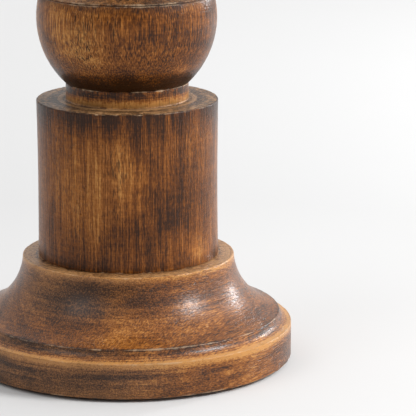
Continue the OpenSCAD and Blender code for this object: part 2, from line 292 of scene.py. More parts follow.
class Outline:
    """Half section of a turned piece, drawn with its material on the left of the way."""

    ROUND_STEPS = 4
    ARRIS_WIDTH = 0.0007
    CORNER_WIDTH = 0.0022
    MOST_TRIM = 0.45
    SHARP_TURN = 0.3
    NEAR_END = 0.01
    SAME_PLACE = 1e-7

    def __init__(self, r, z, closed=True):
        self.places = [Vector((r, z))]
        self.strokes = []
        self.rounds = [None]
        self.closed = closed
        self.marks = []

    def to(self, r, z, sag=0.0, shown=True, thread=False, rounding=None, tooled=0.0):
        """Draws a stroke to a place. A sag above 0 hollows the piece, and below 0 swells it."""
        self.strokes.append((sag, shown, thread, tooled))
        self.places.append(Vector((r, z)))
        self.rounds.append(rounding)
        return self

    def hidden(self, r, z, rounding=None):
        """Draws a straight stroke that nobody sees, with fewer points and no marks of hand work."""
        return self.to(r, z, shown=False, rounding=rounding)

    def stained(self, strength, width):
        """Marks a darker tone round the last place, or a lighter one where the strength is below 0: stain,
        and also painted shade under parts and painted highlights on lit edges.
        """
        self.marks.append((self.places[-1], width, strength))
        return self

    def close(self, shown=False):
        self.to(self.places[0].x, self.places[0].y, shown=shown)
        return self

    def turn_at(self, index):
        """How sharply the outline turns left at a corner, from -1 to 1."""
        before = (index - 1) % len(self.strokes)
        start, end = self.places[before], self.places[before + 1]
        arriving = end - on_stroke(start, end, self.strokes[before][0], 1 - self.NEAR_END)
        after = index % len(self.strokes)
        start, end = self.places[after], self.places[after + 1]
        leaving = on_stroke(start, end, self.strokes[after][0], self.NEAR_END) - start
        arriving.normalize()
        leaving.normalize()
        return arriving.x * leaving.y - arriving.y * leaving.x

    def corner_round(self, index):
        """Size of the rounding at a corner: given, or by whether the corner stands out."""
        if not self.closed and index in (0, len(self.strokes)):
            return 0.0
        if self.rounds[index] is not None:
            return self.rounds[index]
        turning = settings().turning
        return turning.arris if self.turn_at(index) > 0 else turning.crease

    def points(self):
        """The outline's points, each with whether it shows, is threaded and is tooled."""
        turning = settings().turning
        count = len(self.strokes)
        trims = []
        for index in range(count):
            length_here = stroke_length(self.places[index], self.places[index + 1], self.strokes[index][0])
            first = self.corner_round(index)
            last = self.corner_round(index + 1 if index + 1 < count or not self.closed else 0)
            trims.append((min(first / length_here, self.MOST_TRIM),
                          1 - min(last / length_here, self.MOST_TRIM), length_here))
        found = []
        for index, (sag, shown, thread, tooled) in enumerate(self.strokes):
            start, end = self.places[index], self.places[index + 1]
            first, last, length_here = trims[index]
            step = turning.fine_step if shown else turning.coarse_step
            if thread:
                step = settings().hardware.thread_pitch / THREAD_STEPS
            steps = max(1, math.ceil((last - first) * length_here / step))
            for k in range(steps + 1):
                place = on_stroke(start, end, sag, first + (last - first) * k / steps)
                found.append((place, float(shown), float(thread), tooled))
            if index + 1 == count and not self.closed:
                break
            after = (index + 1) % count
            corner = self.places[index + 1]
            leave = found[-1][0]
            arrive = on_stroke(self.places[after], self.places[after + 1], self.strokes[after][0],
                               trims[after][0])
            visible = float(shown and self.strokes[after][1])
            for k in range(1, self.ROUND_STEPS):
                t = k / self.ROUND_STEPS
                place = leave * (1 - t) ** 2 + corner * 2 * t * (1 - t) + arrive * t * t
                found.append((place, visible, 0.0, tooled))
        if self.closed:
            found.append(found[0])
        tidy = [found[0]]
        for point in found[1:]:
            if (point[0] - tidy[-1][0]).length > self.SAME_PLACE:
                tidy.append(point)
        return tidy

    def corner_places(self):
        """Places of the shown corners that stand out, and of those that lie in."""
        outer, inner = [], []
        for index in range(len(self.strokes)):
            if not self.closed and index == 0:
                continue
            if not (self.strokes[index][1] or self.strokes[index - 1][1]):
                continue
            sharpness = self.turn_at(index)
            if sharpness > self.SHARP_TURN:
                outer.append(self.places[index])
            elif sharpness < -self.SHARP_TURN:
                inner.append(self.places[index])
        return outer, inner

    def mesh(self, name):
        """The outline as a mesh of loose points that carry what the lathe and the finish need."""
        points = self.points()
        outer, inner = self.corner_places()
        data = bpy.data.meshes.new(name)
        data.from_pydata([(place.x, 0.0, place.y) for place, *_ in points],
                         [(k, k + 1) for k in range(len(points) - 1)], [])
        along, facing = [0.0], []
        for k, (place, *_) in enumerate(points):
            if k:
                along.append(along[-1] + (place - points[k - 1][0]).length)
            before = points[k - 1][0] if k else (points[-2][0] if self.closed else place)
            after = points[k + 1][0] if k + 1 < len(points) else (points[1][0] if self.closed else place)
            way = (after - before).normalized()
            facing.append((way.y, 0.0, -way.x))

        def nearness(place, marks, width):
            return max((math.exp(-((place - mark).length / width) ** 2) for mark in marks), default=0.0)

        values = {
            "along": along,
            "shown": [shown for _, shown, *_ in points],
            "thread": [thread for _, _, thread, _ in points],
            "tooled": [tooled for *_, tooled in points],
            "arris": [nearness(place, outer, self.ARRIS_WIDTH) for place, *_ in points],
            "corner": [nearness(place, inner, self.CORNER_WIDTH) for place, *_ in points],
            # Tone marks round the marked places: stain, and painted shade and light where parts meet.
            "stain_and_shade": [sum(strength * nearness(place, [mark], width) for mark, width, strength in self.marks)
                     for place, *_ in points],
        }
        for attribute, numbers in values.items():
            data.attributes.new(attribute, "FLOAT", "POINT").data.foreach_set("value", numbers)
        flat = [number for vector in facing for number in vector]
        data.attributes.new("facing", "FLOAT_VECTOR", "POINT").data.foreach_set("vector", flat)
        return data


# ---------------------------------------------------------------- node trees

class Graph:
    """Adds nodes to a tree; what is given for a socket is a value or another node's output."""

    def __init__(self, tree):
        self.tree = tree

    def feed(self, socket, value):
        if isinstance(value, bpy.types.NodeSocket):
            self.tree.links.new(value, socket)
        else:
            socket.default_value = value

    def fill(self, node, values):
        """Feeds several inputs of a node by their names or numbers."""
        for key, value in values.items():
            self.feed(node.inputs[key], value)
        return node

    def node(self, kind, inputs=None, **options):
        node = self.tree.nodes.new(kind)
        for name, value in options.items():
            setattr(node, name, value)
        return self.fill(node, inputs or {})

    def attribute(self, name):
        """A value that the lathe left on the mesh, for a material."""
        return self.node("ShaderNodeAttribute", attribute_name=name).outputs["Fac"]

    def object_place(self):
        return self.node("ShaderNodeTexCoord").outputs["Object"]

    def sway(self, level, source, weight):
        """A level that rises and falls as a source passes above and below its middle."""
        return self.math("MULTIPLY_ADD", self.math("SUBTRACT", source, 0.5), weight, level)

    def grey(self, level):
        return self.combine(level, level, level)

    def math(self, operation, *values, clamp=False):
        inputs = dict(enumerate(values))
        return self.node("ShaderNodeMath", inputs, operation=operation, use_clamp=clamp).outputs[0]

    def vector(self, operation, *values):
        node = self.node("ShaderNodeVectorMath", dict(enumerate(values)), operation=operation)
        return node.outputs["Value" if operation in ("LENGTH", "DOT_PRODUCT") else "Vector"]

    def scaled(self, vector, factor):
        node = self.node("ShaderNodeVectorMath", {0: vector, "Scale": factor}, operation="SCALE")
        return node.outputs["Vector"]

    def combine(self, x, y, z):
        return self.node("ShaderNodeCombineXYZ", {"X": x, "Y": y, "Z": z}).outputs[0]

    def separate(self, vector):
        return self.node("ShaderNodeSeparateXYZ", {0: vector}).outputs

    def remap(self, value, low, high, to_low=0.0, to_high=1.0, smooth=False):
        inputs = {"Value": value, "From Min": low, "From Max": high, "To Min": to_low, "To Max": to_high}
        kind = "SMOOTHSTEP" if smooth else "LINEAR"
        return self.node("ShaderNodeMapRange", inputs, interpolation_type=kind).outputs["Result"]

    def noise(self, vector, scale, detail=2.0, roughness=0.5, distortion=0.0, output=0, w=None):
        inputs = {"Scale": scale, "Detail": detail, "Roughness": roughness, "Distortion": distortion}
        if w is None:
            inputs["Vector"] = vector
            return self.node("ShaderNodeTexNoise", inputs, noise_dimensions="3D").outputs[output]
        inputs["W"] = w
        return self.node("ShaderNodeTexNoise", inputs, noise_dimensions="1D").outputs[output]

    def mix(self, factor, first, second):
        """Blend of two colours."""
        return self.node("ShaderNodeMix", {0: factor, 6: first, 7: second}, data_type="RGBA").outputs[2]

    def join(self, *geometry):
        node = self.tree.nodes.new("GeometryNodeJoinGeometry")
        for piece in geometry:
            self.tree.links.new(piece, node.inputs[0])
        return node.outputs[0]


FLOAT, VECTOR, COLOUR, INTEGER = "NodeSocketFloat", "NodeSocketVector", "NodeSocketColor", "NodeSocketInt"
GEOMETRY, MATERIAL = "NodeSocketGeometry", "NodeSocketMaterial"


def new_tree(name, kind, inputs, outputs):
    """An empty node tree with named inputs and outputs, as a graph, its input sockets and its output node."""
    tree = bpy.data.node_groups.new(name, kind)
    for label, socket_type, default in inputs:
        socket = tree.interface.new_socket(label, in_out="INPUT", socket_type=socket_type)
        if default is not None:
            socket.default_value = default
    for label, socket_type in outputs:
        tree.interface.new_socket(label, in_out="OUTPUT", socket_type=socket_type)
    graph = Graph(tree)
    return graph, graph.node("NodeGroupInput").outputs, graph.node("NodeGroupOutput")


def build_once(build):
    """Builds a tree on first use and keeps it."""
    return functools.lru_cache(maxsize=None)(build)


@build_once
def lathe_tree():
    """Turns an outline round the axis, with optional flats, thread and marks of hand work."""
    graph, given, result = new_tree("Turned section", "GeometryNodeTree", [
        ("Geometry", GEOMETRY, None), ("Segments", INTEGER, 300), ("Across Flats", FLOAT, 0.0),
        ("Thread Pitch", FLOAT, 0.00125), ("Thread Depth", FLOAT, 0.0), ("Wobble", FLOAT, 0.0),
        ("Ripple", FLOAT, 0.0), ("Chip", FLOAT, 0.0), ("Seed", FLOAT, 0.0), ("Material", MATERIAL, None),
    ], [("Geometry", GEOMETRY)])
    outline = given["Geometry"]
    rows = graph.node("GeometryNodeAttributeDomainSize", {"Geometry": outline}).outputs["Point Count"]
    columns = graph.math("ADD", given["Segments"], 1)
    grid = graph.node("GeometryNodeMeshGrid", {"Vertices X": columns, "Vertices Y": rows}).outputs["Mesh"]
    index = graph.node("GeometryNodeInputIndex").outputs[0]
    column = graph.math("FLOOR", graph.math("DIVIDE", graph.math("ADD", index, 0.5), rows))
    row = graph.math("SUBTRACT", index, graph.math("MULTIPLY", column, rows))

    def sample(value, kind="FLOAT"):
        inputs = {"Geometry": outline, "Value": value, "Index": row}
        return graph.node("GeometryNodeSampleIndex", inputs, data_type=kind, domain="POINT").outputs[0]

    def carried(name, kind="FLOAT"):
        inputs = {"Name": name}
        return graph.node("GeometryNodeInputNamedAttribute", inputs, data_type=kind).outputs["Attribute"]

    place = graph.separate(sample(graph.node("GeometryNodeInputPosition").outputs[0], "FLOAT_VECTOR"))
    facing = graph.separate(sample(carried("facing", "FLOAT_VECTOR"), "FLOAT_VECTOR"))
    turned = graph.math("DIVIDE", column, given["Segments"])
    angle = graph.math("MULTIPLY", turned, FULL_TURN)
    cosine, sine = graph.math("COSINE", angle), graph.math("SINE", angle)

    side = math.radians(60)
    from_middle = graph.math("SUBTRACT", graph.math("MODULO", angle, side), side / 2)
    half_width = graph.math("MULTIPLY", given["Across Flats"], 0.5)
    flat = graph.math("DIVIDE", half_width, graph.math("COSINE", from_middle))
    has_flats = graph.math("GREATER_THAN", given["Across Flats"], 0.0)
    flattened = graph.math("MINIMUM", place["X"], flat)
    lost = graph.math("MULTIPLY", has_flats, graph.math("SUBTRACT", flattened, place["X"]))
    radius = graph.math("ADD", place["X"], lost)
    turns = graph.math("SUBTRACT", graph.math("DIVIDE", place["Z"], given["Thread Pitch"]), turned)
    groove = graph.math("PINGPONG", graph.math("FRACT", turns), 0.5)
    depth = graph.math("MULTIPLY", graph.math("MULTIPLY", groove, 2.0), given["Thread Depth"])
    radius = graph.math("SUBTRACT", radius, graph.math("MULTIPLY", depth, sample(carried("thread"))))

    def swung(width, height):
        """A vector of the outline's plane, swung round the axis to its column."""
        return graph.combine(graph.math("MULTIPLY", width, cosine), graph.math("MULTIPLY", width, sine),
                             height)

    position, outward = swung(radius, place["Z"]), swung(facing["X"], facing["Z"])
    along, arris, shown = sample(carried("along")), sample(carried("arris")), sample(carried("shown"))
    shifted = graph.vector("ADD", position, graph.grey(given["Seed"]))
    tool_place = graph.math("ADD", along, given["Seed"])
    sway = graph.math("SUBTRACT", graph.noise(shifted, scale=38.0, detail=1.0), 0.5)
    tool = graph.math("SUBTRACT", graph.noise(None, scale=900.0, detail=1.0, w=tool_place), 0.5)
    nibble = graph.remap(graph.noise(shifted, scale=330.0, detail=3.0, roughness=0.65), 0.52, 0.74)
    cut = graph.math("MULTIPLY", graph.math("MULTIPLY", nibble, arris), given["Chip"])
    move = graph.math("ADD", graph.math("MULTIPLY", sway, given["Wobble"]),
                      graph.math("MULTIPLY", tool, given["Ripple"]))
    move = graph.math("MULTIPLY", graph.math("SUBTRACT", move, cut), shown)
    turned_mesh = graph.node("GeometryNodeSetPosition", {
        "Geometry": grid, "Position": graph.vector("ADD", position, graph.scaled(outward, move))}).outputs[0]
    for name, value in (("along", along), ("arris", arris), ("corner", sample(carried("corner"))),
                        ("stain_and_shade", sample(carried("stain_and_shade"))), ("tooled", sample(carried("tooled")))):
        inputs = {"Geometry": turned_mesh, "Name": name, "Value": value}
        turned_mesh = graph.node("GeometryNodeStoreNamedAttribute", inputs, data_type="FLOAT",
                                 domain="POINT").outputs[0]
    joined = graph.node("GeometryNodeMergeByDistance", {
        "Geometry": turned_mesh, "Distance": MERGE_DISTANCE}).outputs[0]
    smooth = graph.node("GeometryNodeSetShadeSmooth", {"Geometry": joined, "Shade Smooth": True}).outputs[0]
    real = graph.node("GeometryNodeRealizeInstances", {"Geometry": smooth}).outputs[0]
    finished = graph.node("GeometryNodeSetMaterial", {"Geometry": real, "Material": given["Material"]})
    graph.fill(result, {"Geometry": finished.outputs[0]})
    return graph.tree


@build_once
def felt_tree():
    """Cuts round felt pads with a fuzzy edge and lays them on a circle."""
    graph, given, result = new_tree("Felt pads", "GeometryNodeTree", [
        ("Geometry", GEOMETRY, None), ("Radius", FLOAT, 0.01), ("Thickness", FLOAT, 0.0015),
        ("Circle Radius", FLOAT, 0.055), ("Count", INTEGER, 4), ("Fibres", INTEGER, 200),
        ("Fibre Length", FLOAT, 0.001), ("Fibre Radius", FLOAT, 0.00004), ("Seed", INTEGER, 5),
        ("Material", MATERIAL, None),
    ], [("Geometry", GEOMETRY)])
    half = graph.math("MULTIPLY", given["Thickness"], 0.5)
    disc = graph.node("GeometryNodeMeshCylinder", {
        "Vertices": 64, "Side Segments": 6, "Fill Segments": 8, "Radius": given["Radius"],
        "Depth": given["Thickness"]}, fill_type="TRIANGLE_FAN").outputs["Mesh"]
    where = graph.node("GeometryNodeInputPosition").outputs[0]
    place = graph.separate(where)
    height_share = graph.math("ABSOLUTE", graph.math("DIVIDE", place["Z"], half))
    pinch = graph.math("MULTIPLY", graph.math("POWER", height_share, 4.0), 0.022)
    lumps = graph.math("MULTIPLY", graph.math("SUBTRACT", graph.noise(where, scale=700.0), 0.5), 0.035)
    width = graph.math("SUBTRACT", graph.math("ADD", 0.985, lumps), pinch)
    shape = graph.combine(graph.math("MULTIPLY", place["X"], width),
                          graph.math("MULTIPLY", place["Y"], width), place["Z"])
    shaped = graph.node("GeometryNodeSetPosition", {"Geometry": disc, "Position": shape}).outputs[0]
    normal = graph.separate(graph.node("GeometryNodeInputNormal").outputs[0])
    on_side = graph.math("LESS_THAN", graph.math("ABSOLUTE", normal["Z"]), 0.5)
    area = graph.math("MULTIPLY", graph.math("MULTIPLY", given["Radius"], given["Thickness"]), FULL_TURN)
    scattered = graph.node("GeometryNodeDistributePointsOnFaces", {
        "Mesh": shaped, "Selection": on_side, "Seed": given["Seed"],
        "Density": graph.math("DIVIDE", given["Fibres"], area)})
    fibre = graph.node("GeometryNodeMeshCone", {
        "Vertices": 3, "Side Segments": 2, "Radius Top": 0.0, "Radius Bottom": given["Fibre Radius"],
        "Depth": given["Fibre Length"]}).outputs["Mesh"]
    least, most = (1.25, -1.3, 0.0), (1.55, 1.3, 1.0)
    swing = graph.node("FunctionNodeRandomValue", {"Min": least, "Max": most, "Seed": given["Seed"]},
                       data_type="FLOAT_VECTOR").outputs["Value"]
    turn = graph.node("FunctionNodeEulerToRotation", {0: swing}).outputs[0]
    around = graph.node("FunctionNodeAlignRotationToVector", {"Vector": scattered.outputs["Normal"]},
                        axis="Y").outputs[0]
    leaning = graph.node("FunctionNodeRotateRotation", {0: turn, 1: around},
                         rotation_space="GLOBAL").outputs[0]
    fuzz = graph.node("GeometryNodeInstanceOnPoints", {
        "Points": scattered.outputs["Points"], "Instance": fibre, "Rotation": leaning}).outputs[0]
    pad = graph.node("GeometryNodeRealizeInstances", {"Geometry": graph.join(shaped, fuzz)}).outputs[0]
    smooth = graph.node("GeometryNodeSetShadeSmooth", {"Geometry": pad, "Shade Smooth": True}).outputs[0]
    circle = graph.node("GeometryNodeMeshCircle", {
        "Vertices": given["Count"], "Radius": given["Circle Radius"]}).outputs[0]
    order = graph.node("GeometryNodeInputIndex").outputs[0]
    half_step = graph.math("DIVIDE", HALF_TURN, given["Count"])
    bearing = graph.math("MULTIPLY_ADD", order, graph.math("MULTIPLY", half_step, 2.0), half_step)
    seat = graph.combine(graph.math("MULTIPLY", graph.math("COSINE", bearing), given["Circle Radius"]),
                         graph.math("MULTIPLY", graph.math("SINE", bearing), given["Circle Radius"]), half)
    seats = graph.node("GeometryNodeSetPosition", {"Geometry": circle, "Position": seat}).outputs[0]
    pads = graph.node("GeometryNodeInstanceOnPoints", {
        "Points": seats, "Instance": smooth, "Rotation": graph.combine(0.0, 0.0, bearing)}).outputs[0]
    real = graph.node("GeometryNodeRealizeInstances", {"Geometry": pads}).outputs[0]
    loose = graph.separate(graph.node("GeometryNodeInputPosition").outputs[0])
    height = graph.math("MINIMUM", graph.math("MAXIMUM", loose["Z"], 0.0), given["Thickness"])
    kept = graph.combine(loose["X"], loose["Y"], height)
    pressed = graph.node("GeometryNodeSetPosition", {"Geometry": real, "Position": kept}).outputs[0]
    finished = graph.node("GeometryNodeSetMaterial", {"Geometry": pressed, "Material": given["Material"]})
    graph.fill(result, {"Geometry": finished.outputs[0]})
    return graph.tree


def run_tree(name, data, tree, values):
    """Runs a tree on a mesh and returns the result as a plain mesh object at the origin."""
    piece = bpy.data.objects.new(name, data)
    bpy.context.scene.collection.objects.link(piece)
    modifier = piece.modifiers.new(tree.name, "NODES")
    modifier.node_group = tree
    sockets = {item.name: item.identifier for item in tree.interface.items_tree
               if item.item_type == "SOCKET" and item.in_out == "INPUT"}
    for label, value in values.items():
        modifier[sockets[label]] = value
    depsgraph = bpy.context.evaluated_depsgraph_get()
    finished = bpy.data.meshes.new_from_object(piece.evaluated_get(depsgraph), preserve_all_data_layers=True,
                                               depsgraph=depsgraph)
    piece.modifiers.remove(modifier)
    piece.data = finished
    finished.name = name
    return piece


def fit(piece, body, node):
    """Gives a finished piece its body and hides the node that it stands for."""
    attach(piece, body)
    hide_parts(node)


def socket_label(name):
    return name.replace("_", " ").title()


def turn_piece(name, outline, material, body, node, slot, **values):
    """Turns an outline into a piece of the candlestick."""
    inputs = {socket_label(key): value for key, value in values.items()}
    inputs["Material"] = material
    piece = run_tree(name, outline.mesh(name + "_outline"), lathe_tree(), inputs)
    fit(piece, body, node)
    return piece


# ---------------------------------------------------------------- shader groups

@build_once
def grain_group():
    """Growth rings, fibres, pores and clouds of wood whose fibres run along Z of the given vector."""
    graph, given, result = new_tree("Wood grain", "ShaderNodeTree", [
        ("Vector", VECTOR, None), ("Pith", VECTOR, (0.05, 0.0, 0.0)), ("Ring Spacing", FLOAT, 0.004),
        ("Waviness", FLOAT, 0.006), ("Pore Width", FLOAT, 0.00026), ("Pore Length", FLOAT, 0.0022),
        ("Seed", FLOAT, 0.0),
    ], [("Rings", FLOAT), ("Fibre", FLOAT), ("Pores", FLOAT), ("Cloud", FLOAT), ("Figure", FLOAT),
        ("Distance", FLOAT)])
    seed = graph.combine(given["Seed"], graph.math("MULTIPLY", given["Seed"], 0.37), given["Seed"])
    place = graph.vector("ADD", given["Vector"], seed)

    def squeezed(along_fibres, across_fibres=1.0):
        """The place with distances made shorter, which draws a pattern out along or across the fibres."""
        return graph.vector("MULTIPLY", place, (across_fibres, across_fibres, along_fibres))

    drift = graph.noise(squeezed(0.42), scale=22.0, detail=2.0, output=1)
    drift = graph.scaled(graph.vector("SUBTRACT", drift, MIDDLE),
                         graph.math("MULTIPLY", given["Waviness"], 2))
    across = graph.vector("ADD", graph.vector("SUBTRACT", given["Vector"], given["Pith"]), drift)
    distance = graph.vector("LENGTH", graph.vector("MULTIPLY", across, LEVEL_SCALE))
    count = graph.math("ADD", graph.math("DIVIDE", distance, given["Ring Spacing"]), given["Seed"])
    rings = graph.remap(graph.noise(None, scale=1.0, detail=2.0, roughness=0.6, w=count), 0.32, 0.68)

    long_fibre = graph.remap(graph.noise(squeezed(0.022), scale=1900.0, detail=1.0), 0.32, 0.68, -0.5, 0.5)
    short_fibre = graph.remap(graph.noise(squeezed(0.22), scale=2300.0, detail=1.0), 0.32, 0.68, -0.5, 0.5)
    fibre = graph.math("MULTIPLY_ADD", long_fibre, 0.85, graph.math("MULTIPLY_ADD", short_fibre, 0.5, 0.5))

    thin = graph.math("DIVIDE", 1.0, given["Pore Width"])
    long = graph.math("DIVIDE", 1.0, given["Pore Length"])
    pore_place = graph.vector("MULTIPLY", place, graph.combine(thin, thin, long))
    crowd = graph.remap(graph.noise(squeezed(0.3), scale=85.0, detail=2.0), 0.35, 0.65, -0.07, 0.07)
    coarse = graph.math("ADD", graph.noise(pore_place, scale=0.5, detail=0.5), crowd)
    fine = graph.math("ADD", graph.noise(pore_place, scale=1.2, detail=1.0), crowd)
    pores = graph.math("MAXIMUM", graph.remap(coarse, 0.64, 0.74, smooth=True),
                       graph.remap(fine, 0.58, 0.70, 0.0, 0.8, smooth=True))

    cloud = graph.remap(graph.noise(squeezed(0.5), scale=30.0, detail=2.5, distortion=0.5), 0.32, 0.68)
    figure = graph.remap(graph.noise(squeezed(1.0, 0.22), scale=210.0, detail=2.0, distortion=0.3), 0.3, 0.7)
    graph.fill(result, {"Rings": rings, "Fibre": fibre, "Pores": pores, "Cloud": cloud, "Figure": figure,
                        "Distance": distance})
    return graph.tree


STAIN_COLOURS = ("dark", "middle", "warm", "gold", "end_dark", "end_light", "ledge")


@build_once
def stain_group():
    """Colour of stained wood, from dark to gold as its tone rises, with painted light on tool-cut ledges that
    face up.
    """
    graph, given, result = new_tree("Stain", "ShaderNodeTree", [
        ("Tone", FLOAT, 0.5), ("Pores", FLOAT, 0.0), ("Pore Depth", FLOAT, 0.7), ("End", FLOAT, 0.0),
        ("Flat", FLOAT, 0.0), *((socket_label(name), COLOUR, BLACK) for name in STAIN_COLOURS),
    ], [("Color", COLOUR)])
    tone = given["Tone"]
    stained = graph.mix(graph.remap(tone, 0.0, 0.4), given["Dark"], given["Middle"])
    stained = graph.mix(graph.remap(tone, 0.4, 0.72), stained, given["Warm"])
    stained = graph.mix(graph.remap(tone, 0.72, 1.1), stained, given["Gold"])
    mottled = graph.mix(graph.remap(tone, 0.05, 1.1), given["End Dark"], given["End Light"])
    stained = graph.mix(graph.math("MULTIPLY", given["End"], 0.6), stained, mottled)
    # Painted light: tool-cut ledges that face up are pulled towards the ledge colour as if lit from above,
    # more where the stain is lighter.
    ledge_light = graph.math("MULTIPLY", given["Flat"], graph.remap(tone, 0.0, 1.1, 0.08, 0.7))
    stained = graph.mix(ledge_light, stained, given["Ledge"])
    stained = graph.mix(graph.math("MULTIPLY", given["Pores"], given["Pore Depth"]), stained, given["Dark"])
    graph.fill(result, {"Color": stained})
    return graph.tree


@build_once
def patch_group():
    """A soft patch with an uneven edge round a place."""
    graph, given, result = new_tree("Stain patch", "ShaderNodeTree", [
        ("Vector", VECTOR, None), ("Centre", VECTOR, (0.0, 0.0, 0.0)), ("Radius", FLOAT, 0.01),
        ("Strength", FLOAT, 0.2),
    ], [("Patch", FLOAT)])
    drift = graph.noise(given["Vector"], scale=70.0, detail=3.0, output=1)
    drift = graph.vector("SUBTRACT", drift, MIDDLE)
    place = graph.vector("ADD", given["Vector"], graph.scaled(drift, given["Radius"]))
    away = graph.vector("LENGTH", graph.vector("SUBTRACT", place, given["Centre"]))
    near = graph.remap(graph.math("DIVIDE", away, given["Radius"]), 0.15, 1.1, 1.0, 0.0, smooth=True)
    graph.fill(result, {"Patch": graph.math("MULTIPLY", near, given["Strength"])})
    return graph.tree


@build_once
def tool_group():
    """Lines and short dashes that a turning tool and sandpaper leave round a piece."""
    graph, given, result = new_tree("Tool lines", "ShaderNodeTree", [
        ("Vector", VECTOR, None), ("Spacing", FLOAT, 0.0042), ("Dash Width", FLOAT, 0.0006),
        ("Dash Turn", FLOAT, 11.0), ("Seed", FLOAT, 0.0),
    ], [("Lines", FLOAT), ("Dashes", FLOAT), ("Torn", FLOAT)])
    along = graph.attribute("along")
    count = graph.math("ADD", graph.math("DIVIDE", along, given["Spacing"]), given["Seed"])
    lines = graph.noise(None, scale=1.0, detail=5.0, roughness=0.8, w=count)
    lines = graph.remap(lines, 0.42, 0.58, -0.5, 0.5)
    patches = graph.remap(graph.noise(given["Vector"], scale=55.0, detail=3.0), 0.38, 0.62, 0.3, 1.0)
    lines = graph.math("MULTIPLY_ADD", lines, patches, 0.5)
    flat_way = graph.vector("NORMALIZE", graph.vector("MULTIPLY", given["Vector"], LEVEL_SCALE))
    across = graph.math("DIVIDE", along, given["Dash Width"])
    dash_place = graph.vector("ADD", graph.scaled(flat_way, given["Dash Turn"]),
                              graph.combine(0.0, given["Seed"], across))
    dashes = graph.noise(dash_place, scale=1.0, detail=2.0, roughness=0.6)
    torn = graph.noise(given["Vector"], scale=520.0, detail=3.0, roughness=0.75)
    graph.fill(result, {"Lines": lines, "Dashes": graph.remap(dashes, 0.34, 0.66),
                        "Torn": graph.remap(torn, 0.4, 0.62)})
    return graph.tree


@build_once
def handling_group():
    """Wear on edges, and wax, dust and painted shade in inner corners, on any turned piece."""
    graph, given, result = new_tree("Handling", "ShaderNodeTree", [
        ("Color", COLOUR, BLACK), ("Vector", VECTOR, None), ("Bare", COLOUR, BLACK), ("Grime And Shade", COLOUR, BLACK),
        ("Wear", FLOAT, 1.0), ("Corner Darkening", FLOAT, 0.6), ("Roughness", FLOAT, 0.4),
        ("Roughness Spread", FLOAT, 0.15),
    ], [("Color", COLOUR), ("Roughness", FLOAT)])
    place = given["Vector"]
    rubbed = graph.noise(place, scale=190.0, detail=4.0, roughness=0.75)
    rubbed = graph.sway(rubbed, graph.noise(place, scale=42.0, detail=2.0), 0.7)
    rubbed = graph.math("MULTIPLY_ADD", graph.attribute("arris"), 0.36, rubbed)
    worn = graph.math("MULTIPLY", graph.remap(rubbed, 0.80, 1.0), given["Wear"], clamp=True)
    # Painted shade in inner corners, along with wax and dust: the colour is pulled towards the near-black
    # corner colour.
    corner_patchiness = graph.remap(graph.noise(place, scale=90.0, detail=3.0), 0.25, 0.6, 0.35, 1.0)
    grime_and_shade = graph.math("MULTIPLY", graph.math("MULTIPLY", graph.attribute("corner"), corner_patchiness), given["Corner Darkening"],
                       clamp=True)
    finish = graph.mix(grime_and_shade, given["Color"], given["Grime And Shade"])
    finish = graph.mix(worn, finish, given["Bare"])
    smudge = graph.noise(place, scale=45.0, detail=3.0)
    rough = graph.sway(given["Roughness"], smudge, given["Roughness Spread"])
    rough = graph.math("MULTIPLY_ADD", worn, 0.2, rough)
    rough = graph.math("MULTIPLY_ADD", grime_and_shade, 0.15, rough)
    graph.fill(result, {"Color": finish, "Roughness": rough})
    return graph.tree


# ---------------------------------------------------------------- materials

def new_material(name):
    """An empty material as a graph with its Principled shader."""
    material = bpy.data.materials.new(name)
    material.use_nodes = True
    material.node_tree.nodes.clear()
    graph = Graph(material.node_tree)
    shader = graph.node("ShaderNodeBsdfPrincipled")
    graph.node("ShaderNodeOutputMaterial", {"Surface": shader.outputs[0]})
    return material, graph, shader


def place_group(graph, tree, values):
    """Places a shader group and feeds its inputs."""
    return graph.node("ShaderNodeGroup", values, node_tree=tree).outputs


def opaque(colour_value):
    return (*colour_value, 1.0)


class WoodCut:
    """How a piece was cut from the tree, and how the stain, the tool and use have marked it."""

    turn = (0.0, 0.0, 0.0)  # turns the piece so that its fibres run along Z
    pith = (0.05, 0.0, 0.0)  # where the heart of the tree lies
    ring = 0.004  # distance between growth rings
    seed = 1.0
    tone = 0.5  # from 0, the darkest stain, to 1.1, the lightest
    rings = 0.5  # from here to torn: how much each of these moves the tone
    cloud = 0.5
    fibre = 0.5
    figure = 0.1
    lines = 0.08
    dashes = 0.1
    torn = 0.1
    pore_width = 0.00026
    pore_length = 0.0022
    pore_depth = 0.7
    wear = 0.6
    shine = 0.2
    streak = None  # a dark streak: its distance from the pith, its width and its depth
    patches = ()  # each a place, a radius and a strength, lighter above 0 and darker below

    def __init__(self, **given):
        for name, value in given.items():
            setattr(self, name, value)


